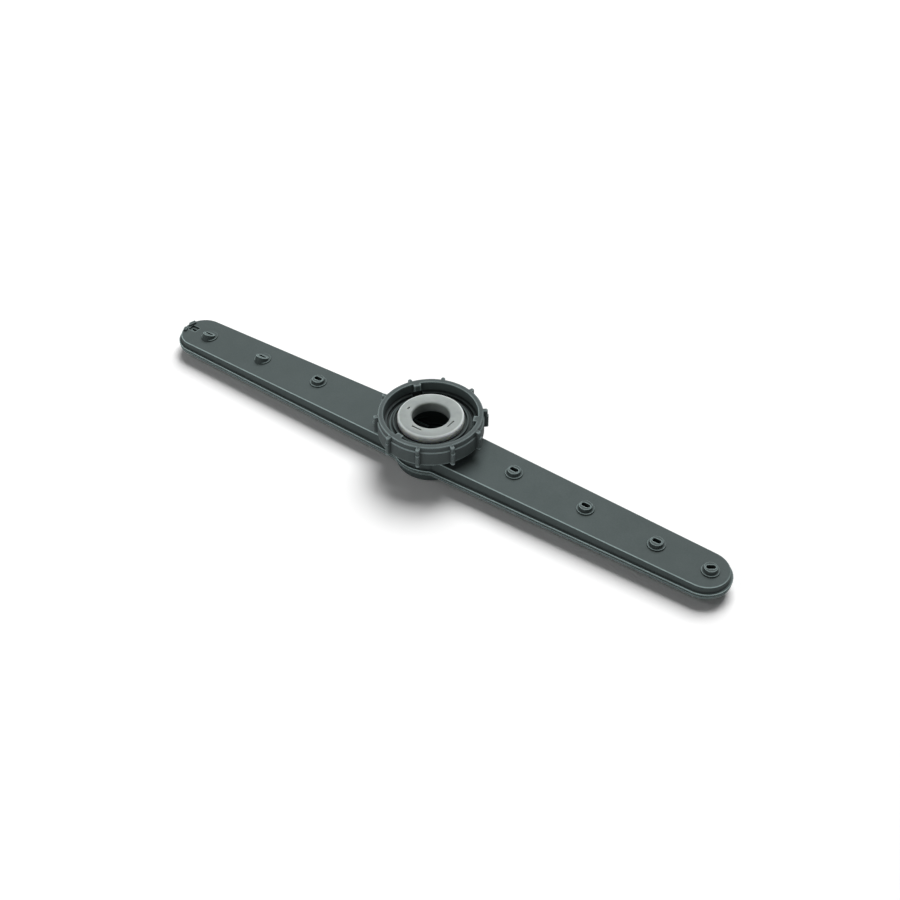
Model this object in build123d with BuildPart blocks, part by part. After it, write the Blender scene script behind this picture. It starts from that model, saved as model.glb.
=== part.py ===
from build123d import *
import math
import os

# Upper spray arm of a dishwasher: two welded shells with moulded jets, a bayonet locking ring that turns
# on the neck, and a bearing bush snapped into the neck. Millimetres, +Z up. The origin is on the hub axis
# at the level of the underside, and +X runs along the longer row of jets.

# Arm
arm_length = 400.0              # tip to tip over the weld flange
arm_height = 17.0               # underside to top face at the hub axis
arm_fall = 3.1                  # fall of the top face from the hub axis to the tips
hub_half_width = 17.6           # half width of the top face at the hub
tip_half_width = 13.8           # half width of the top face at the round ends
wall = 2.0                      # wall of both shells
weld_height = 8.3               # plane where the shells meet
upper_draft = 0.8               # lean of the upper sides, top face to weld
lower_draft = 5.0               # lean of the lower sides, weld to underside
top_edge_radius = 1.0
underside_edge_radius = 1.2

# Weld flange
flange_reach = 2.7              # beyond the edge of the top face at the hub
tip_flange_reach = 2.1          # beyond the edge of the top face at the round ends
upper_flange = 1.7              # thickness on the upper shell
lower_flange = 1.9              # thickness on the lower shell
flange_setback = 0.3            # how far the lower flange stays inside the upper one
flange_edge_radius = 0.35
seam_groove = 0.6               # bevel of both flanges along the weld
hub_flange_reach = 1.6          # beyond the round hub
hub_flange_blend = 6.0          # rounds the corner between arm flange and hub flange

# Hub and neck
neck_bore = 19.0                # radius inside the shelf that carries the bush
neck_wall = 1.7                 # neck between its mouth and the groove for the ring
ring_stand = 5.5                # underside of the ring above the top face
running_gap = 0.3               # between faces that turn on each other
ring_clearance = 0.4            # ring bore on the neck, on the radius
seat_width = 1.0                # shoulder under the ring floor, beyond the ring bore
seat_edge = 0.8                 # straight edge of the shoulder
seat_overhang = 2.8             # shoulder beyond the round hub
bead_catch = 0.8                # bead that holds the ring down, beyond the ring bore
bead_land = 0.6                 # straight edge of the bead below its lead-in
bead_height = 1.4
rim_wall = 0.9                  # thin rim round the mouth of the neck
rim_height = 1.5
rim_edge_radius = 0.25
mouth_depth = 1.6               # rim to the shelf that the bush lip sits on
bowl_draft = 0.9                # how much smaller the bowl is at the underside
gate_mark_radius = 3.0
gate_mark_depth = 0.5

# Locking ring
skirt_height = 2.6              # ring below its floor
ring_floor = 2.0                # floor that runs on the neck
ledge_gap = 1.6                 # bead of the neck to the ledge
ledge_width = 1.8
ledge_height = 2.1              # ledge above the floor
socket_depth = 6.7              # rim to ledge
ring_wall = 3.1
ring_edge_radius = 0.45
band_height = 4.2               # narrower band below the rim
band_step = 0.6
rib_count = 10
rib_first_angle = 4.0
rib_reach = 2.7                 # beyond the wall that carries it
rib_width = 2.5
rib_edge_radius = 1.1
rib_top_radius = 0.5
rib_inset = 0.4                 # ends of a rib inside the ends of the wall that carries it
lug_count = 3
lug_first_angle = 23.0
lug_reach = 2.4
lug_width = 4.4
lug_lift = 0.8                  # underside of a lug above the ledge
lug_ramp = 1.8                  # rise of a lug's underside towards the hub
lug_edge_radius = 0.4
lug_window = 1.0                # opening through the floor under a lug, beyond its sides

# Bearing bush
throat_radius = 11.4            # feed bore
throat_edge_radius = 1.2
bush_wall = 1.8
bush_clearance = 0.3            # sleeve in the neck, on the radius
lip_seat = 0.9                  # lip beyond the neck bore
lip_gap = 2.0                   # lip to the wall of the mouth
lip_height = 5.2
lip_crown = 0.6                 # rise of the top between its edges
lip_top_radius = 1.2
lip_under_radius = 0.5
bush_web = 2.4                  # top of the bush between lip and throat
throat_tail = 2.0               # throat tube below the lip
hook_catch = 0.6                # snap hooks beyond the neck bore
hook_height = 2.2
leg_count = 4
leg_gap = 7.0                   # slots between the snap legs
mark_width = 1.1
mark_depth = 0.8
mark_inset = 3.1                # feed bore to the middle of a mark
# Each mark: angle about the hub axis, length
bush_marks = ((0.0, 6.5), (191.0, 2.5), (270.0, 7.0))

# Jets
first_jet = 58.2                # hub axis to the innermost jet of the long row
last_jet_inset = 12.8           # tip to the outermost jet of the long row
# Each jet of the long row: share of the way to the outermost, offset from the middle line, turn of its slot
long_row = ((0.0, 1.9, 0.0), (0.38, 1.1, 0.0), (0.74, 0.0, 0.0), (1.0, 0.0, 34.0))
first_short_jet = 88.3          # hub axis to the upright jet of the short row
last_lean_inset = 23.0          # tip to the outermost leaning jet
short_jet_offset = 2.0
# Each leaning jet: share of the way to the outermost, offset from the middle line
lean_row = ((0.5, 0.3), (1.0, -1.0))
lean_angle = 27.0
lean_mouth = 2.6                # centre of a leaning jet's mouth above the top face
jet_base_radius = 5.25
jet_base_height = 1.0
jet_radius = 4.1
jet_taper = 0.3
jet_height = 3.2
jet_edge_radius = 0.35
slot_length = 5.6
slot_width = 3.0

# End jet at the tip of the short row
end_pocket_length = 6.0
end_pocket_width = 5.0
end_pocket_depth = 1.2
end_pocket_inset = 6.3          # edge of the top face to the middle of the pocket
end_slot_length = 3.4
end_slot_width = 1.8
end_lug_inset = 1.8             # edge of the top face to the middle of the lugs
end_lug_height = 1.3
end_lug_depth = 2.2
end_lug_round = 0.5
# Each lug: angle about the centre of the end, width
end_lugs = ((165.0, 4.6), (199.0, 2.8))

# Sizes that follow
half_length = arm_length / 2
top_edge = half_length - tip_flange_reach
end_centre = top_edge - tip_half_width
upper_height = arm_height - weld_height
upper_taper = math.degrees(math.atan(upper_draft / upper_height))
lower_taper = math.degrees(math.atan(lower_draft / weld_height))
lip_radius = neck_bore + lip_seat
mouth_radius = lip_radius + lip_gap
rim_radius = mouth_radius + rim_wall
neck_radius = mouth_radius + neck_wall
ring_bore = neck_radius + ring_clearance
bead_radius = ring_bore + bead_catch
seat_radius = ring_bore + seat_width
hub_radius = seat_radius - seat_overhang
bowl_radius = hub_radius - bowl_draft
hub_flange_radius = hub_radius + hub_flange_reach
ledge_radius = bead_radius + ledge_gap
ring_inner_radius = ledge_radius + ledge_width
ring_radius = ring_inner_radius + ring_wall
lug_crest_radius = ring_inner_radius - lug_reach
ring_bottom = arm_height + ring_stand
floor_bottom = ring_bottom + skirt_height
floor_top = floor_bottom + ring_floor
ledge_top = floor_top + ledge_height
ring_top = ledge_top + socket_depth
seat_height = floor_bottom - running_gap
flare_top = seat_height - seat_edge
flare_bottom = flare_top - seat_overhang
inner_flare_bottom = flare_bottom + wall * (math.sqrt(2) - 1)
inner_flare_top = inner_flare_bottom + neck_radius - hub_radius
bead_bottom = floor_top + running_gap
bead_top = bead_bottom + bead_height
neck_top = bead_top + rim_height
shelf_top = neck_top - mouth_depth
shelf_underside = shelf_top - wall
lip_bottom = shelf_top + running_gap
lip_top = lip_bottom + lip_height
throat_bottom = lip_bottom - throat_tail
throat_outer_radius = throat_radius + bush_wall
sleeve_radius = neck_bore - bush_clearance
sleeve_inner_radius = sleeve_radius - bush_wall
hook_top = shelf_underside - running_gap
hook_bottom = hook_top - hook_height
hook_radius = neck_bore + hook_catch
room = 1.0                      # how far a cut runs past the face it opens


def top_at(x):
    """Height of the sloping top face at a distance along the arm."""
    return arm_height - arm_fall * abs(x) / half_length


def arm_outline(side_grow, end_grow):
    """Tapered outline of the arm with round ends, grown outwards at the hub and at the ends."""
    side = hub_half_width + side_grow
    end = tip_half_width + end_grow
    slant = math.hypot(end_centre, side)
    turn = math.pi - math.atan2(side, end_centre) - math.acos(end / slant)
    touch_x = end_centre + end * math.cos(turn)
    touch_y = end * math.sin(turn)
    with BuildSketch() as outline:
        with BuildLine():
            Line((0, -side), (touch_x, -touch_y))
            ThreePointArc((touch_x, -touch_y), (end_centre + end, 0), (touch_x, touch_y))
            Line((touch_x, touch_y), (0, side))
            mirror(about=Plane.YZ)
        make_face()
    return outline.sketch


def flange_outline(inset):
    """Outline of the weld flange, with the round flange of the hub blended into the arm's."""
    with BuildSketch() as outline:
        add(arm_outline(flange_reach - inset, tip_flange_reach - inset))
        Circle(hub_flange_radius - inset)
        corners = outline.vertices().filter_by_position(Axis.X, -hub_flange_radius, hub_flange_radius)
        fillet(corners, hub_flange_blend)
    return outline.sketch


def sloping_channel(grow, height, edge_radius=0.0):
    """Drafted body of the arm above the weld, grown outwards, with a top that slopes to the tips."""
    with BuildPart() as channel:
        with BuildSketch(Plane.XY.offset(weld_height)):
            add(arm_outline(grow, grow))
        extrude(amount=height - weld_height, taper=upper_taper)
        with BuildSketch(Plane.XZ):
            with BuildLine():
                Polyline(
                    (0, weld_height),
                    (half_length, weld_height),
                    (half_length, height - arm_fall),
                    (0, height),
                    close=True,
                )
            make_face()
        extrude(amount=half_length, both=True, mode=Mode.INTERSECT)
        if edge_radius:
            outer_edges = channel.faces().sort_by(Axis.Z)[-1].edges().filter_by(Axis.Y, reverse=True)
            fillet(outer_edges, edge_radius)
        mirror(about=Plane.YZ)
    return channel.part


def along_row(first, inset, share):
    """Distance of a jet from the hub axis, at a share of the way from the first jet to the last."""
    last = half_length - inset
    return first + (last - first) * share


def turned(profile_points, rounded=()):
    """Solid of revolution about Z from points (radius, height); rounded lists (point index, radius)."""
    with BuildPart() as body:
        with BuildSketch(Plane.XZ) as profile:
            with BuildLine():
                Polyline(*profile_points, close=True)
            make_face()
            for index, radius in rounded:
                corner = profile.vertices().sort_by_distance(profile_points[index])[0]
                fillet(corner, radius)
        revolve(axis=Axis.Z)
    return body.part


def grip_rib():
    """Rib outside the locking ring at +X, rooted in its wall and stepped as the wall is."""
    root = ring_radius - ring_wall / 2
    with BuildPart() as rib:
        for step, top in ((0, ring_top), (band_step, ring_top - band_height)):
            crest = ring_radius + rib_reach + step
            with BuildSketch(Plane.XY.offset(ring_bottom + rib_inset)):
                with Locations(((root + crest) / 2, 0)):
                    RectangleRounded(crest - root, rib_width, rib_edge_radius)
            extrude(amount=top - ring_bottom - 2 * rib_inset)
        fillet(rib.faces().sort_by(Axis.Z)[-1].edges(), rib_top_radius)
    return rib.part


def bayonet_lug():
    """Lug inside the locking ring at +X, rooted in its wall, with a ramp under it."""
    root = ring_radius - ring_wall / 2
    underside = ledge_top + lug_lift
    with BuildPart() as lug:
        with BuildSketch(Plane.XZ):
            with BuildLine():
                Polyline(
                    (lug_crest_radius, ring_top),
                    (lug_crest_radius, underside + lug_ramp),
                    (ring_inner_radius, underside),
                    (root, underside),
                    (root, ring_top),
                    close=True,
                )
            make_face()
        extrude(amount=lug_width / 2, both=True)
        fillet(lug.edges().filter_by(Axis.Z).sort_by(Axis.X)[:2], lug_edge_radius)
    return lug.part


# Jets: an upright barrel on its base disc, and the disc and barrel of a leaning jet, drawn about its mouth
jet_base = [(0, -wall), (jet_base_radius, -wall), (jet_base_radius, jet_base_height)]
upright_jet = turned(
    jet_base + [
        (jet_radius, jet_base_height),
        (jet_radius - jet_taper, jet_height),
        (0, jet_height),
    ],
    rounded=((2, jet_edge_radius), (4, jet_edge_radius)),
)
lean_base = turned(jet_base + [(0, jet_base_height)], rounded=((2, jet_edge_radius),))
lean_length = (lean_mouth + wall) / math.cos(math.radians(lean_angle))
lean_barrel = turned(
    [(0, -lean_length), (jet_radius, -lean_length), (jet_radius, 0), (0, 0)],
    rounded=((2, jet_edge_radius),),
)
upright_jets = [
    (along_row(first_jet, last_jet_inset, share), offset, turn) for share, offset, turn in long_row
]
upright_jets.append((-first_short_jet, short_jet_offset, 0.0))
leaning_jets = [
    (-along_row(first_short_jet, last_lean_inset, share), offset) for share, offset in lean_row
]
end_jet = top_edge - end_pocket_inset
end_top = top_at(end_jet)
lean_direction = (0, math.sin(math.radians(lean_angle)), math.cos(math.radians(lean_angle)))
lean_planes = [
    Plane(origin=(x, y, top_at(x) + lean_mouth), x_dir=(1, 0, 0), z_dir=lean_direction)
    for x, y in leaning_jets
]

# Upper shell: weld flange, drafted channel, round hub with its neck, jets
with BuildPart() as arm_upper_shell:
    with BuildSketch(Plane.XY.offset(weld_height)):
        add(flange_outline(0))
    extrude(amount=upper_flange)
    fillet(arm_upper_shell.edges().group_by(Axis.Z)[-1], flange_edge_radius)
    chamfer(arm_upper_shell.edges().group_by(Axis.Z)[0], seam_groove)

    add(sloping_channel(upper_draft, arm_height, top_edge_radius))
    hub = turned(
        [
            (0, weld_height),
            (hub_radius, weld_height),
            (hub_radius, flare_bottom),
            (seat_radius, flare_top),
            (seat_radius, seat_height),
            (neck_radius, seat_height),
            (neck_radius, bead_bottom),
            (bead_radius, bead_bottom),
            (bead_radius, bead_bottom + bead_land),
            (ring_bore, bead_top),
            (rim_radius, bead_top),
            (rim_radius, neck_top),
            (0, neck_top),
        ],
        rounded=((11, rim_edge_radius),),
    )
    add(hub)

    with Locations(*[(x, y, top_at(x)) for x, y, turn in upright_jets]):
        add(upright_jet)
    with Locations(*[(x, y, top_at(x)) for x, y in leaning_jets]):
        add(lean_base)
    with Locations(*lean_planes):
        add(lean_barrel)

    with BuildSketch(Plane.XY.offset(end_top - top_edge_radius)):
        for angle, width in end_lugs:
            with Locations((-end_centre, 0)):
                with PolarLocations(tip_half_width - end_lug_inset, 1, start_angle=angle):
                    RectangleRounded(end_lug_depth, width, end_lug_round)
    extrude(amount=top_edge_radius + end_lug_height)

    # Channel, hub chamber and the bore of the neck
    add(sloping_channel(upper_draft - wall, arm_height - wall), mode=Mode.SUBTRACT)
    chamber = turned(
        [
            (0, weld_height),
            (hub_radius - wall, weld_height),
            (hub_radius - wall, inner_flare_bottom),
            (neck_radius - wall, inner_flare_top),
            (neck_radius - wall, shelf_underside),
            (neck_bore, shelf_underside),
            (neck_bore, shelf_top),
            (mouth_radius, shelf_top),
            (mouth_radius, neck_top),
            (0, neck_top),
        ]
    )
    add(chamber, mode=Mode.SUBTRACT)

    # Slots of the jets
    with BuildSketch(Plane.XY.offset(arm_height + jet_height)):
        for x, y, turn in upright_jets:
            with Locations((x, y)):
                SlotOverall(slot_length, slot_width, rotation=turn)
    extrude(amount=-(jet_height + arm_fall + wall + room), mode=Mode.SUBTRACT)
    with BuildSketch(*lean_planes):
        SlotOverall(slot_length, slot_width)
    extrude(amount=-(lean_length + jet_radius), mode=Mode.SUBTRACT)

    # End jet: a pocket behind two lugs, with its own slot into the channel
    with BuildSketch(Plane.XY.offset(end_top + room)):
        with Locations((-end_jet, 0)):
            RectangleRounded(end_pocket_length, end_pocket_width, end_lug_round)
    extrude(amount=-(end_pocket_depth + room), mode=Mode.SUBTRACT)
    with BuildSketch(Plane.XY.offset(end_top)):
        with Locations((-end_jet, 0)):
            SlotOverall(end_slot_length, end_slot_width)
    extrude(amount=-(wall + room), mode=Mode.SUBTRACT)

# Lower shell: weld flange, channel floor and the bowl under the hub
with BuildPart() as arm_lower_shell:
    with BuildSketch(Plane.XY.offset(weld_height)):
        add(flange_outline(flange_setback))
    extrude(amount=-lower_flange)
    fillet(arm_lower_shell.edges().group_by(Axis.Z)[0], flange_edge_radius)
    chamfer(arm_lower_shell.edges().group_by(Axis.Z)[-1], seam_groove)

    with BuildSketch(Plane.XY.offset(weld_height)):
        add(arm_outline(upper_draft, upper_draft))
    extrude(amount=-weld_height, taper=lower_taper)
    fillet(arm_lower_shell.faces().sort_by(Axis.Z)[0].edges(), underside_edge_radius)

    bowl = turned(
        [(0, 0), (bowl_radius, 0), (hub_radius, weld_height), (0, weld_height)],
        rounded=((1, underside_edge_radius),),
    )
    add(bowl)

    with BuildSketch(Plane.XY.offset(weld_height)):
        add(arm_outline(upper_draft - wall, upper_draft - wall))
    extrude(amount=wall - weld_height, taper=lower_taper, mode=Mode.SUBTRACT)
    bowl_inside = turned(
        [(0, wall), (bowl_radius - wall, wall), (hub_radius - wall, weld_height), (0, weld_height)]
    )
    add(bowl_inside, mode=Mode.SUBTRACT)
    with BuildSketch(Plane.XY):
        Circle(gate_mark_radius)
    extrude(amount=gate_mark_depth, mode=Mode.SUBTRACT)

# Locking ring: stepped wall, floor that runs between shoulder and bead, grip ribs, and bayonet lugs over
# windows in the floor
with BuildPart() as locking_ring:
    with BuildSketch(Plane.XZ) as ring_profile:
        with BuildLine():
            Polyline(
                (ring_bore, floor_bottom),
                (ring_inner_radius + band_step, floor_bottom),
                (ring_inner_radius + band_step, ring_bottom),
                (ring_radius + band_step, ring_bottom),
                (ring_radius + band_step, ring_top - band_height),
                (ring_radius, ring_top - band_height + band_step),
                (ring_radius, ring_top),
                (ring_inner_radius, ring_top),
                (ring_inner_radius, ledge_top),
                (ledge_radius, ledge_top),
                (ledge_radius, floor_top),
                (ring_bore, floor_top),
                close=True,
            )
        make_face()
        fillet(ring_profile.vertices().group_by(Axis.Y)[-1], ring_edge_radius)
        fillet(ring_profile.vertices().group_by(Axis.Y)[0].sort_by(Axis.X)[-1], ring_edge_radius)
    revolve(axis=Axis.Z)

    with BuildSketch(Plane.XY.offset(floor_bottom)):
        with PolarLocations(ring_inner_radius - lug_reach / 2, lug_count, start_angle=lug_first_angle):
            Rectangle(lug_reach, lug_width + 2 * lug_window)
    extrude(amount=ring_floor + ledge_height, mode=Mode.SUBTRACT)

    with PolarLocations(0, rib_count, start_angle=rib_first_angle):
        add(grip_rib())
    with PolarLocations(0, lug_count, start_angle=lug_first_angle):
        add(bayonet_lug())

# Bearing bush: crowned lip, sleeve with snap legs, and the throat that the feed pipe enters
with BuildPart() as bearing_bush:
    with BuildSketch(Plane.XZ) as bush_profile:
        with BuildLine():
            crown_top = ((throat_radius + lip_radius) / 2, lip_top)
            outer_edge = (lip_radius, lip_top - lip_crown)
            mouth_edge = (throat_radius, lip_top - lip_crown)
            ThreePointArc(outer_edge, crown_top, mouth_edge)
            Polyline(
                mouth_edge,
                (throat_radius, throat_bottom),
                (throat_outer_radius, throat_bottom),
                (throat_outer_radius, lip_top - bush_web),
                (sleeve_inner_radius, lip_top - bush_web),
                (sleeve_inner_radius, hook_bottom),
                (sleeve_radius - bush_clearance, hook_bottom),
                (hook_radius, hook_top - hook_catch),
                (hook_radius, hook_top),
                (sleeve_radius, hook_top),
                (sleeve_radius, lip_bottom),
                (lip_radius, lip_bottom),
                outer_edge,
            )
        make_face()
        fillet(bush_profile.vertices().sort_by_distance(outer_edge)[0], lip_top_radius)
        fillet(bush_profile.vertices().sort_by_distance((lip_radius, lip_bottom))[0], lip_under_radius)
        fillet(bush_profile.vertices().sort_by_distance(mouth_edge)[0], throat_edge_radius)
    revolve(axis=Axis.Z)

    with BuildSketch(Plane.XY.offset(hook_bottom)):
        with PolarLocations(sleeve_radius, leg_count):
            Rectangle(2 * (bush_wall + hook_catch), leg_gap)
    extrude(amount=lip_bottom - hook_bottom, mode=Mode.SUBTRACT)

    with BuildSketch(Plane.XY.offset(lip_top)):
        for angle, length in bush_marks:
            with PolarLocations(throat_radius + mark_inset, 1, start_angle=angle):
                SlotOverall(length, mark_width, rotation=90)
    extrude(amount=-mark_depth, mode=Mode.SUBTRACT)

os.makedirs("parts", exist_ok=True)
arm_upper_shell.part.label = "arm_upper_shell"
arm_lower_shell.part.label = "arm_lower_shell"
locking_ring.part.label = "locking_ring"
bearing_bush.part.label = "bearing_bush"
export_step(arm_upper_shell.part, "parts/arm_upper_shell.step")
export_step(arm_lower_shell.part, "parts/arm_lower_shell.step")
export_step(locking_ring.part, "parts/locking_ring.step")
export_step(bearing_bush.part, "parts/bearing_bush.step")
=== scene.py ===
import math

import bmesh
import bpy
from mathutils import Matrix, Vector


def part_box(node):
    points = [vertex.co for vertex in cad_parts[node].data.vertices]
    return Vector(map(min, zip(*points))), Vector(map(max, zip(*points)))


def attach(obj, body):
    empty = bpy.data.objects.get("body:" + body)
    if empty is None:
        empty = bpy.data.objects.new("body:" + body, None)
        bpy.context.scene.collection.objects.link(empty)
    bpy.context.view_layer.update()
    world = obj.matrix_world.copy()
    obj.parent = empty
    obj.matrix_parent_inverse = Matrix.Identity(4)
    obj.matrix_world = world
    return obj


# Dishwasher spray arm on a pale table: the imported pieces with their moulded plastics, the weld bead round
# the arm's flange, soft light mostly from behind, and a camera at the photograph's angle. Metres, +Z up.

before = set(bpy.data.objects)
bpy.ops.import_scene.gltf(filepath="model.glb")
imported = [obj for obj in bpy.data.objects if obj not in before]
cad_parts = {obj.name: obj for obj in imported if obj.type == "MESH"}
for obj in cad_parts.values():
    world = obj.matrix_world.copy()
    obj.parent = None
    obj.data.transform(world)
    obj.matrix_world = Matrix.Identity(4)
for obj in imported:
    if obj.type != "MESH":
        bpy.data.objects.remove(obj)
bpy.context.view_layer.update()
MM = 0.001

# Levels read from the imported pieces
lower_low, lower_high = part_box("arm_lower_shell")
TABLE_LEVEL = lower_low.z
WELD_LEVEL = lower_high.z

# Top face of the arm: its level at the hub, and how much it falls per length towards the tips
TOP_LEVEL = 17.0 * MM
TOP_FALL = 0.0155

# Camera
AIM_HEIGHT = 15.0 * MM
CAMERA_AZIMUTH = math.radians(34.76)
CAMERA_ELEVATION = math.radians(42.67)
CAMERA_DISTANCE = 843.5 * MM
CAMERA_SIDESTEP = 11.41 * MM
CAMERA_RISE = -6.92 * MM
CAMERA_LENS = 56.0
CAMERA_SENSOR = 36.0
CAMERA_NEAR = 10.0 * MM

# Light: where each lamp stands, its size and its power
KEY_PLACE = Vector((-0.7, 2.75, 4.5))
KEY_SIZE = 3.6
KEY_POWER = 335.0
FRONT_PLACE = Vector((-0.25, -1.15, 0.28))
FRONT_SIZE = 0.7
FRONT_POWER = 2.0
EDGE_PLACE = Vector((-0.45, -0.62, 0.86))
EDGE_SIZE = 0.25
EDGE_POWER = 0.8
SKY_STRENGTH = 0.06

# Table
TABLE_HALF = 4.0
TABLE_GAP = 0.02 * MM
TABLE_COLOUR = 0.93
TABLE_WHITE = 1.07

# Colours of the plastics
ARM_COLOUR = (0.073, 0.0925, 0.0915)
RING_COLOUR = (0.077, 0.095, 0.095)
BUSH_COLOUR = (0.88, 0.97, 0.945)

# Values that most of a noise pattern lies between, and those of a finer one
NOISE_MIDDLE = (0.3, 0.7)
SPECK_MIDDLE = (0.25, 0.75)

# Moulded grey of arm and ring: sizes of its patterns, and what they do to shade and roughness
GREY_CLOUD = 34.0 * MM
GREY_SPECK = 0.9 * MM
GREY_SMEAR = 9.0 * MM
GREY_SHADES = (0.95, 1.05)
GREY_ROUGHNESS = (0.62, 0.7)
GREY_SPECULAR = 0.12
ARM_GRAIN = 0.5 * MM
RING_GRAIN = 0.4 * MM
GREY_GRAIN_DEPTH = 0.03 * MM
GREY_GRAIN_STRENGTH = 0.35
GREY_EDGE = 0.2 * MM

# Painted highlight on outer edges: how far in it reaches, how light it makes them, and its share on the far
# side, +Y
ARM_HIGHLIGHT_REACH = 0.7 * MM
ARM_EDGE_HIGHLIGHT = 6.8
RING_HIGHLIGHT_REACH = 1.5 * MM
RING_EDGE_HIGHLIGHT = 5.0
FAR_SIDE_HIGHLIGHT = 0.25

# Where the painted highlight sets in: openness under an edge, upward part of the normal on a rounded corner
# and at its steepest, and sideways part of the normal from the front to the far side
EDGE_OPENNESS = (0.45, 0.85)
ROUND_NORMAL = (0.985, 0.75)
STEEP_NORMAL = (0.45, 0.6)
SIDE_NORMAL = (-0.4, 0.2)

# Upper ends of the jets, as heights above the top face
JET_ENDS_LOW = (1.2 * MM, 1.8 * MM)
JET_ENDS_HIGH = (4.0 * MM, 4.6 * MM)

# Painted shade in inner corners, and painted shade inside the slots of the jets: reach, shade and openness
CORNER_OPENNESS = (0.3, 0.8)
GREY_CORNER_SHADE_REACH = 2.5 * MM
GREY_CORNER_SHADE = 0.55
SLOT_OPENNESS = (0.1, 0.45)
SLOT_REACH = 6.0 * MM
PAINTED_SLOT_SHADE = 0.1

# Painted shade in the socket between neck and ring: shade, soft edge, and the radius and levels on each
# piece
SOCKET_PAINTED_SHADE = 0.4
SOCKET_BLUR = 0.2 * MM
NECK_RADIUS = 25.2 * MM
NECK_LEVELS = (22.0 * MM, 40.0 * MM)
LEDGE_RADIUS = 28.4 * MM
LEDGE_LEVELS = (20.0 * MM, 29.5 * MM)

# Weld: distances from its level over which the painted shade in the groove and the painted highlight on the
# lips end, and their shades
GROOVE_END = (0.48 * MM, 0.66 * MM)
GROOVE_PAINTED_SHADE = 0.06
LIP_END = (1.575 * MM, 1.925 * MM)
LIP_PAINTED_HIGHLIGHT = 1.8

# Milky bush: sizes of its patterns, what they do to shade and roughness, its painted edge highlight, its
# painted shade in corners and on the top, and how light passes through it
BUSH_CLOUD = 7.0 * MM
BUSH_SMEAR = 3.0 * MM
BUSH_SHADES = (0.9, 1.08)
BUSH_ROUGHNESS = (0.5, 0.62)
BUSH_SPECULAR = 0.2
BUSH_HIGHLIGHT_REACH = 0.5 * MM
BUSH_EDGE_HIGHLIGHT = 1.05
BUSH_HIGHLIGHT_OPENNESS = (0.4, 0.8)
BUSH_CORNER_SHADE_REACH = 1.5 * MM
BUSH_CORNER_SHADE = 0.4
BUSH_TOP_SHADE = 0.37
BUSH_TOP_SHADE_END = (18.4 * MM, 19.8 * MM)
BUSH_GRAIN = 0.6 * MM
BUSH_GRAIN_DEPTH = 0.02 * MM
BUSH_GRAIN_STRENGTH = 0.25
BUSH_EDGE = 0.25 * MM
MILK_DEPTH = 6.0 * MM
MILK_TINT = (1.0, 1.0, 0.9)

# Rays that each look at a surface's surroundings takes
OPENNESS_SAMPLES = 6
BEVEL_SAMPLES = 4

# Weld bead, and how its path is found on the lower shell
BEAD_RADIUS = 0.22 * MM
BEAD_STEP = 0.9 * MM
BEAD_SEED = 4.0
BEAD_LUMP = 4.0 * MM
BEAD_SWELL = (0.6, 1.3)
BEAD_SIDES = 8
SEAM_MERGE = 0.001 * MM
SEAM_LEVEL_SLACK = 0.01 * MM
SEAM_SHARP_EDGE = math.radians(30)


def point_camera():
    """Camera looking down on the hub from the front right, as in the photograph."""
    flat = math.cos(CAMERA_ELEVATION)
    back = Vector((
        math.sin(CAMERA_AZIMUTH) * flat,
        -math.cos(CAMERA_AZIMUTH) * flat,
        math.sin(CAMERA_ELEVATION),
    ))
    right = Vector((math.cos(CAMERA_AZIMUTH), math.sin(CAMERA_AZIMUTH), 0))
    up = back.cross(right)
    data = bpy.data.cameras.new("photo_camera")
    data.lens = CAMERA_LENS
    data.sensor_width = CAMERA_SENSOR
    data.clip_start = CAMERA_NEAR
    camera = bpy.data.objects.new("photo_camera", data)
    bpy.context.scene.collection.objects.link(camera)
    aim = Vector((0, 0, AIM_HEIGHT))
    camera.location = aim + back * CAMERA_DISTANCE + right * CAMERA_SIDESTEP + up * CAMERA_RISE
    camera.rotation_mode = "QUATERNION"
    camera.rotation_quaternion = (-back).to_track_quat("-Z", "Y")
    bpy.context.scene.camera = camera


def softbox(name, place, size, power):
    """Square area lamp that faces the hub."""
    data = bpy.data.lights.new(name, "AREA")
    data.shape = "SQUARE"
    data.size = size
    data.energy = power
    lamp = bpy.data.objects.new(name, data)
    lamp.location = place
    lamp.rotation_mode = "QUATERNION"
    lamp.rotation_quaternion = (-place).to_track_quat("-Z", "Y")
    bpy.context.scene.collection.objects.link(lamp)


def seen_rays(tree):
    """One for the rays that see a surface or reflect it, nought for those that carry light from it."""
    path = tree.nodes.new("ShaderNodeLightPath")
    seen = path.outputs["Is Camera Ray"]
    for other in ("Is Glossy Ray", "Is Transmission Ray"):
        either = tree.nodes.new("ShaderNodeMath")
        either.operation = "MAXIMUM"
        tree.links.new(seen, either.inputs[0])
        tree.links.new(path.outputs[other], either.inputs[1])
        seen = either.outputs[0]
    return seen


def light_the_table():
    """Soft lamps, a dim even sky, and a white backdrop for what looks past the table."""
    softbox("key_softbox", KEY_PLACE, KEY_SIZE, KEY_POWER)
    softbox("front_fill", FRONT_PLACE, FRONT_SIZE, FRONT_POWER)
    softbox("edge_light", EDGE_PLACE, EDGE_SIZE, EDGE_POWER)
    world = bpy.data.worlds.new("studio")
    world.use_nodes = True
    tree = world.node_tree
    tree.nodes.clear()
    sky = tree.nodes.new("ShaderNodeBackground")
    sky.inputs["Color"].default_value = (1, 1, 1, 1)
    sky.inputs["Strength"].default_value = SKY_STRENGTH
    backdrop = tree.nodes.new("ShaderNodeBackground")
    backdrop.inputs["Color"].default_value = (1, 1, 1, 1)
    choice = tree.nodes.new("ShaderNodeMixShader")
    out = tree.nodes.new("ShaderNodeOutputWorld")
    tree.links.new(seen_rays(tree), choice.inputs[0])
    tree.links.new(sky.outputs[0], choice.inputs[1])
    tree.links.new(backdrop.outputs[0], choice.inputs[2])
    tree.links.new(choice.outputs[0], out.inputs[0])
    bpy.context.scene.world = world


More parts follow.
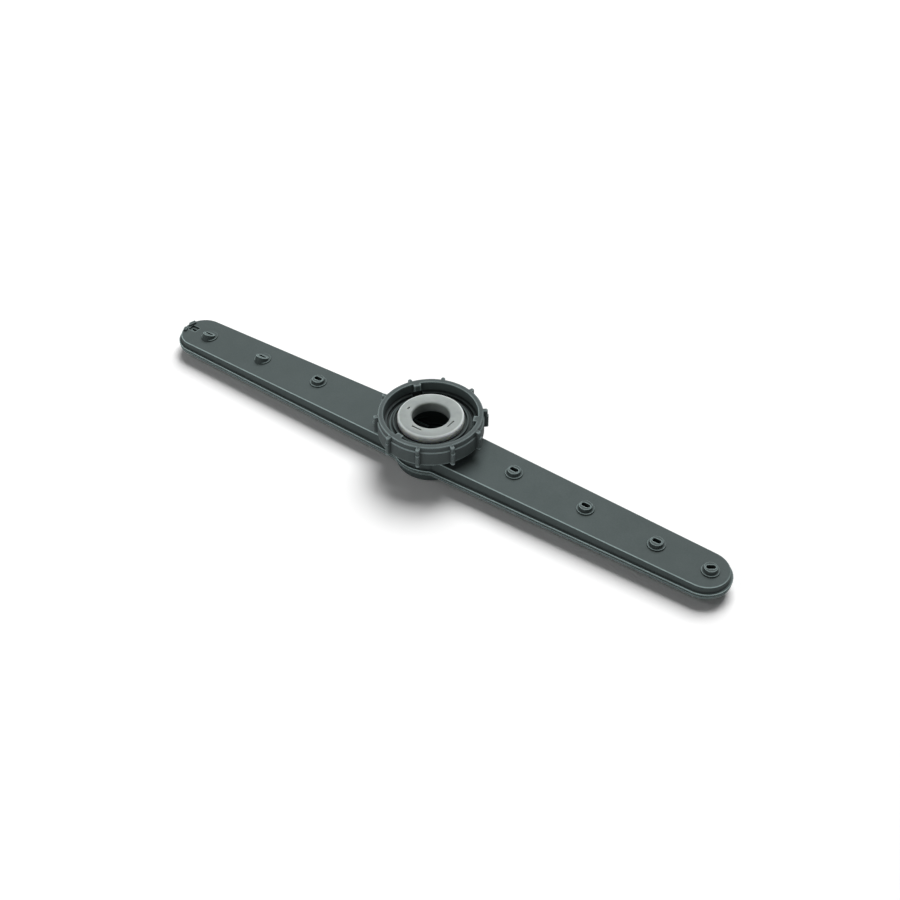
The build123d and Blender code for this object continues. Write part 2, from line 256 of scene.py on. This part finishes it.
def lay_table():
    """Wide pale table top under the arm, a little whiter to the eye than to the light it passes on."""
    mesh = bpy.data.meshes.new("table")
    level = TABLE_LEVEL - TABLE_GAP
    corners = [(x * TABLE_HALF, y * TABLE_HALF, level) for x, y in ((-1, -1), (1, -1), (1, 1), (-1, 1))]
    mesh.from_pydata(corners, [], [(0, 1, 2, 3)])
    table = bpy.data.objects.new("table", mesh)
    bpy.context.scene.collection.objects.link(table)
    material = bpy.data.materials.new("pale_table")
    material.use_nodes = True
    tree = material.node_tree
    tree.nodes.clear()
    paint = tree.nodes.new("ShaderNodeBsdfDiffuse")
    white = tree.nodes.new("ShaderNodeMapRange")
    white.inputs["To Min"].default_value = TABLE_COLOUR
    white.inputs["To Max"].default_value = TABLE_WHITE
    out = tree.nodes.new("ShaderNodeOutputMaterial")
    tree.links.new(seen_rays(tree), white.inputs["Value"])
    tree.links.new(white.outputs[0], paint.inputs["Color"])
    tree.links.new(paint.outputs[0], out.inputs[0])
    mesh.materials.append(material)


class Finish:
    """Node material for one plastic, built up from patterns in the piece's own coordinates."""

    def __init__(self, name):
        self.material = bpy.data.materials.new(name)
        self.material.use_nodes = True
        self.tree = self.material.node_tree
        self.shader = self.tree.nodes["Principled BSDF"]
        coordinates = self.tree.nodes.new("ShaderNodeTexCoord").outputs
        self.place = coordinates["Object"]
        self.normal = coordinates["Normal"]

    def node(self, kind, **inputs):
        """New node with its inputs set to values or joined to other nodes' outputs."""
        made = self.tree.nodes.new(kind)
        for name, value in inputs.items():
            self.give(made.inputs[name.replace("_", " ")], value)
        return made

    def give(self, socket, value):
        """Sets a socket to a value, or joins it to another node's output."""
        if isinstance(value, bpy.types.NodeSocket):
            self.tree.links.new(value, socket)
        else:
            socket.default_value = value

    def noise(self, size, detail=2.0, roughness=0.5):
        """Cloudy pattern from nought to one, with blots about as large as the given size."""
        made = self.node("ShaderNodeTexNoise", Vector=self.place, Scale=1 / size, Detail=detail)
        made.inputs["Roughness"].default_value = roughness
        return made.outputs["Fac"]

    def spread(self, value, low, high, start=0.0, end=1.0):
        """Value from start to end, mapped on low to high."""
        made = self.node("ShaderNodeMapRange", Value=value)
        for name, number in (("From Min", start), ("From Max", end), ("To Min", low), ("To Max", high)):
            made.inputs[name].default_value = number
        return made.outputs["Result"]

    def maths(self, operation, first, second=0.0):
        """One sum of two values or outputs."""
        made = self.node("ShaderNodeMath")
        made.operation = operation
        self.give(made.inputs[0], first)
        self.give(made.inputs[1], second)
        return made.outputs[0]

    def times(self, first, *others):
        """Product of two or more values or outputs."""
        for other in others:
            first = self.maths("MULTIPLY", first, other)
        return first

    def axes(self, vector):
        """The X, Y and Z parts of a vector."""
        return self.node("ShaderNodeSeparateXYZ", Vector=vector).outputs

    def radius(self):
        """Distance from the hub axis."""
        level = self.node("ShaderNodeVectorMath")
        level.operation = "MULTIPLY"
        self.give(level.inputs[0], self.place)
        level.inputs[1].default_value = (1, 1, 0)
        length = self.node("ShaderNodeVectorMath")
        length.operation = "LENGTH"
        self.give(length.inputs[0], level.outputs[0])
        return length.outputs["Value"]

    def openness(self, reach, inside):
        """How much of the space within reach is free of the piece, over its surface or under it."""
        made = self.node("ShaderNodeAmbientOcclusion", Distance=reach)
        made.inside = inside
        made.only_local = True
        made.samples = OPENNESS_SAMPLES
        return made.outputs["AO"]

    def on_jets(self):
        """One on the upper ends of the jets, nought on the top face under them and on the hub's neck."""
        place = self.axes(self.place)
        fallen = self.times(self.maths("ABSOLUTE", place["X"]), TOP_FALL)
        above = self.maths("SUBTRACT", self.maths("ADD", place["Z"], fallen), TOP_LEVEL)
        over = self.spread(above, 0.0, 1.0, *JET_ENDS_LOW)
        under = self.spread(above, 1.0, 0.0, *JET_ENDS_HIGH)
        return self.times(over, under)

    def outer_edge(self, reach, rims=0.0):
        """Where the painted highlight goes: one on the outer edges and rounded corners of the piece, less
        on its far side unless on a rim.
        """
        normal = self.axes(self.normal)
        front = self.spread(normal["Y"], 1.0, FAR_SIDE_HIGHLIGHT, *SIDE_NORMAL)
        edge = self.spread(self.openness(reach, inside=True), 1.0, 0.0, *EDGE_OPENNESS)
        edge = self.times(edge, self.maths("MAXIMUM", front, rims))
        round_off = self.spread(normal["Z"], 0.0, 1.0, *ROUND_NORMAL)
        not_steep = self.spread(normal["Z"], 0.0, 1.0, *STEEP_NORMAL)
        return self.maths("MAXIMUM", edge, self.times(round_off, not_steep, front))

    def painted_corner_shade(self, reach, dark):
        """Painted shade: down to the given darkness in the inner corners of the piece, one away from them.
        """
        return self.spread(self.openness(reach, inside=False), dark, 1.0, *CORNER_OPENNESS)

    def painted_slot_shade(self):
        """Painted shade: dark well inside the slots of the piece, one elsewhere."""
        return self.spread(self.openness(SLOT_REACH, inside=False), PAINTED_SLOT_SHADE, 1.0, *SLOT_OPENNESS)

    def painted_socket_shade(self, reach, levels):
        """Painted shade: dark in the ring's socket, within reach of the hub axis and between two levels,
        one elsewhere.
        """
        low, high = levels
        height = self.axes(self.place)["Z"]
        within = self.spread(self.radius(), 1.0, 0.0, reach, reach + SOCKET_BLUR)
        over = self.spread(height, 0.0, 1.0, low - SOCKET_BLUR, low)
        under = self.spread(height, 1.0, 0.0, high, high + SOCKET_BLUR)
        return self.spread(self.times(within, over, under), 1.0, SOCKET_PAINTED_SHADE)

    def painted_weld_shade_and_highlight(self):
        """Painted shade in the groove along the weld, painted highlight on the two lips beside it, one
        elsewhere.
        """
        height = self.axes(self.place)["Z"]
        off = self.maths("ABSOLUTE", self.maths("SUBTRACT", height, WELD_LEVEL))
        in_groove = self.spread(off, GROOVE_PAINTED_SHADE, 1.0, *GROOVE_END)
        on_lip = self.spread(off, LIP_PAINTED_HIGHLIGHT, 1.0, *LIP_END)
        return self.times(in_groove, on_lip)

    def tint(self, colour, amount):
        """Colour made lighter or darker by the amount."""
        made = self.node("ShaderNodeVectorMath")
        made.operation = "SCALE"
        made.inputs[0].default_value = colour
        self.give(made.inputs["Scale"], amount)
        self.give(self.shader.inputs["Base Color"], made.outputs[0])

    def grain(self, height, depth, strength, edge):
        """Fine relief over softly rounded edges."""
        rounded = self.node("ShaderNodeBevel", Radius=edge)
        rounded.samples = BEVEL_SAMPLES
        bump = self.node("ShaderNodeBump", Height=height, Normal=rounded.outputs[0])
        bump.inputs["Strength"].default_value = strength
        bump.inputs["Distance"].default_value = depth
        self.give(self.shader.inputs["Normal"], bump.outputs[0])


def moulded_grey(finish, colour, grain_size, painted_edge_highlight, painted_shading):
    """Satin grey plastic: fine eroded grain, faint flow clouds, painted highlights on the edges, painted
    shade in inner corners, and the piece's other painted shade and highlights.
    """
    clouds = finish.spread(finish.noise(GREY_CLOUD, detail=4.0), *GREY_SHADES, *NOISE_MIDDLE)
    specks = finish.spread(finish.noise(GREY_SPECK, detail=1.0), *GREY_SHADES, *SPECK_MIDDLE)
    # Painted shade in the inner corners
    corner_shade = finish.painted_corner_shade(GREY_CORNER_SHADE_REACH, GREY_CORNER_SHADE)
    finish.tint(colour, finish.times(clouds, specks, painted_edge_highlight, corner_shade, painted_shading))
    smears = finish.noise(GREY_SMEAR, detail=3.0, roughness=0.6)
    finish.give(finish.shader.inputs["Roughness"], finish.spread(smears, *GREY_ROUGHNESS, *NOISE_MIDDLE))
    finish.shader.inputs["Specular IOR Level"].default_value = GREY_SPECULAR
    relief = finish.noise(grain_size, roughness=0.6)
    finish.grain(relief, GREY_GRAIN_DEPTH, GREY_GRAIN_STRENGTH, GREY_EDGE)
    return finish.material


def arm_grey():
    """Grey of the welded shells: painted highlights on the edges and the rims of the jets, painted shade in
    the slots, the neck and the weld's groove, and a painted highlight on the weld's lips.
    """
    finish = Finish("arm_grey")
    # Painted highlight on the outer edges, rounded corners and the rims of the jets
    edge = finish.outer_edge(ARM_HIGHLIGHT_REACH, rims=finish.on_jets())
    painted_edge_highlight = finish.spread(edge, 1.0, ARM_EDGE_HIGHLIGHT)
    socket = finish.painted_socket_shade(NECK_RADIUS, NECK_LEVELS)
    # Painted shade in the slots, the neck's socket and the weld's groove, and a painted highlight on the
    # weld's lips
    painted_shading = finish.times(finish.painted_slot_shade(), socket, finish.painted_weld_shade_and_highlight())
    return moulded_grey(finish, ARM_COLOUR, ARM_GRAIN, painted_edge_highlight, painted_shading)


def ring_grey():
    """Grey of the locking ring, with painted highlights on the grips and rim and painted shade on the
    ledge.
    """
    finish = Finish("ring_grey")
    painted_edge_highlight = finish.spread(finish.outer_edge(RING_HIGHLIGHT_REACH), 1.0, RING_EDGE_HIGHLIGHT)
    socket = finish.painted_socket_shade(LEDGE_RADIUS, LEDGE_LEVELS)
    return moulded_grey(finish, RING_COLOUR, RING_GRAIN, painted_edge_highlight, socket)


def milky_bush():
    """Waxy, slightly translucent plastic with cloudy streaks, a painted highlight on its edges, painted
    shade in its inner corners and painted shade on its top inside the outer wall.
    """
    finish = Finish("milky_bush")
    streaks = finish.noise(BUSH_CLOUD, detail=4.0, roughness=0.6)
    clouds = finish.spread(streaks, *BUSH_SHADES, *NOISE_MIDDLE)
    # Painted highlight on the bush's outer edges
    under_edge = finish.openness(BUSH_HIGHLIGHT_REACH, inside=True)
    bush_edge_highlight = finish.spread(under_edge, BUSH_EDGE_HIGHLIGHT, 1.0, *BUSH_HIGHLIGHT_OPENNESS)
    # Painted shade in the inner corners
    corner_shade = finish.painted_corner_shade(BUSH_CORNER_SHADE_REACH, BUSH_CORNER_SHADE)
    # Painted shade over the top of the bush, leaving its outer wall light
    top_shade = finish.spread(finish.radius(), BUSH_TOP_SHADE, 1.0, *BUSH_TOP_SHADE_END)
    finish.tint(BUSH_COLOUR, finish.times(clouds, bush_edge_highlight, corner_shade, top_shade))
    smears = finish.noise(BUSH_SMEAR, detail=3.0)
    finish.give(finish.shader.inputs["Roughness"], finish.spread(smears, *BUSH_ROUGHNESS, *NOISE_MIDDLE))
    finish.shader.inputs["Specular IOR Level"].default_value = BUSH_SPECULAR
    finish.shader.inputs["Subsurface Weight"].default_value = 1.0
    finish.shader.inputs["Subsurface Radius"].default_value = MILK_TINT
    finish.shader.inputs["Subsurface Scale"].default_value = MILK_DEPTH
    finish.grain(finish.noise(BUSH_GRAIN), BUSH_GRAIN_DEPTH, BUSH_GRAIN_STRENGTH, BUSH_EDGE)
    return finish.material


def dress(node, material):
    """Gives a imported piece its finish."""
    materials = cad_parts[node].data.materials
    materials.clear()
    materials.append(material)


def seam_path():
    """Outermost edge loop of the lower shell at the weld, as an object of bare edges."""
    shell = bmesh.new()
    shell.from_mesh(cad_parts["arm_lower_shell"].data)
    bmesh.ops.remove_doubles(shell, verts=shell.verts, dist=SEAM_MERGE)
    at_weld = [
        edge for edge in shell.edges
        if len(edge.link_faces) == 2
        and edge.calc_face_angle() > SEAM_SHARP_EDGE
        and all(abs(corner.co.z - WELD_LEVEL) < SEAM_LEVEL_SLACK for corner in edge.verts)
    ]
    along = {}
    for edge in at_weld:
        for corner in edge.verts:
            along.setdefault(corner, []).append(edge)
    tip = max(along, key=lambda corner: corner.co.x)
    loop = [tip]
    edge = along[tip][0]
    while True:
        corner = edge.other_vert(loop[-1])
        if corner is tip:
            break
        loop.append(corner)
        edge = next(other for other in along[corner] if other is not edge)
    mesh = bpy.data.meshes.new("seam")
    count = len(loop)
    mesh.from_pydata([corner.co[:] for corner in loop], [(i, (i + 1) % count) for i in range(count)], [])
    shell.free()
    seam = bpy.data.objects.new("seam", mesh)
    bpy.context.scene.collection.objects.link(seam)
    return seam


def bead_tree(material):
    """Node tree that lays a slightly uneven bead of plastic along the edges that it is given."""
    tree = bpy.data.node_groups.new("weld_bead", "GeometryNodeTree")
    tree.interface.new_socket("Seam", in_out="INPUT", socket_type="NodeSocketGeometry")
    for name in ("Bead radius", "Step", "Seed"):
        tree.interface.new_socket(name, in_out="INPUT", socket_type="NodeSocketFloat")
    tree.interface.new_socket("Bead", in_out="OUTPUT", socket_type="NodeSocketGeometry")
    new, link = tree.nodes.new, tree.links.new
    given = new("NodeGroupInput").outputs
    path = new("GeometryNodeMeshToCurve")
    link(given["Seam"], path.inputs["Mesh"])
    even = new("GeometryNodeResampleCurve")
    even.mode = "LENGTH"
    link(path.outputs["Curve"], even.inputs["Curve"])
    link(given["Step"], even.inputs["Length"])
    lumps = new("ShaderNodeTexNoise")
    lumps.noise_dimensions = "4D"
    lumps.inputs["Scale"].default_value = 1 / BEAD_LUMP
    link(given["Seed"], lumps.inputs["W"])
    swell = new("ShaderNodeMapRange")
    swell.inputs["From Min"].default_value, swell.inputs["From Max"].default_value = NOISE_MIDDLE
    swell.inputs["To Min"].default_value, swell.inputs["To Max"].default_value = BEAD_SWELL
    link(lumps.outputs["Fac"], swell.inputs["Value"])
    thick = new("GeometryNodeSetCurveRadius")
    link(even.outputs["Curve"], thick.inputs["Curve"])
    link(swell.outputs["Result"], thick.inputs["Radius"])
    section = new("GeometryNodeCurvePrimitiveCircle")
    section.inputs["Resolution"].default_value = BEAD_SIDES
    link(given["Bead radius"], section.inputs["Radius"])
    body = new("GeometryNodeCurveToMesh")
    link(thick.outputs["Curve"], body.inputs["Curve"])
    link(section.outputs["Curve"], body.inputs["Profile Curve"])
    real = new("GeometryNodeRealizeInstances")
    link(body.outputs["Mesh"], real.inputs["Geometry"])
    finished = new("GeometryNodeSetMaterial")
    finished.inputs["Material"].default_value = material
    link(real.outputs["Geometry"], finished.inputs["Geometry"])
    link(finished.outputs["Geometry"], new("NodeGroupOutput").inputs["Bead"])
    return tree


def lay_weld_bead(material):
    """Bead squeezed out along the weld, in the groove between the two flanges."""
    seam = seam_path()
    tree = bead_tree(material)
    modifier = seam.modifiers.new("weld_bead", "NODES")
    modifier.node_group = tree
    sizes = {"Bead radius": BEAD_RADIUS, "Step": BEAD_STEP, "Seed": BEAD_SEED}
    for socket in tree.interface.items_tree:
        if socket.in_out == "INPUT" and socket.name in sizes:
            modifier[socket.identifier] = sizes[socket.name]
    solid = seam.evaluated_get(bpy.context.evaluated_depsgraph_get())
    mesh = bpy.data.meshes.new_from_object(solid)
    bpy.data.objects.remove(seam)
    mesh.name = "weld_bead"
    mesh.shade_smooth()
    bead = bpy.data.objects.new("weld_bead", mesh)
    bpy.context.scene.collection.objects.link(bead)
    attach(bead, "arm")


arm_plastic = arm_grey()
dress("arm_upper_shell", arm_plastic)
dress("arm_lower_shell", arm_plastic)
dress("locking_ring", ring_grey())
dress("bearing_bush", milky_bush())
lay_weld_bead(arm_plastic)

point_camera()
light_the_table()
lay_table()
bpy.context.scene.view_settings.view_transform = "Standard"
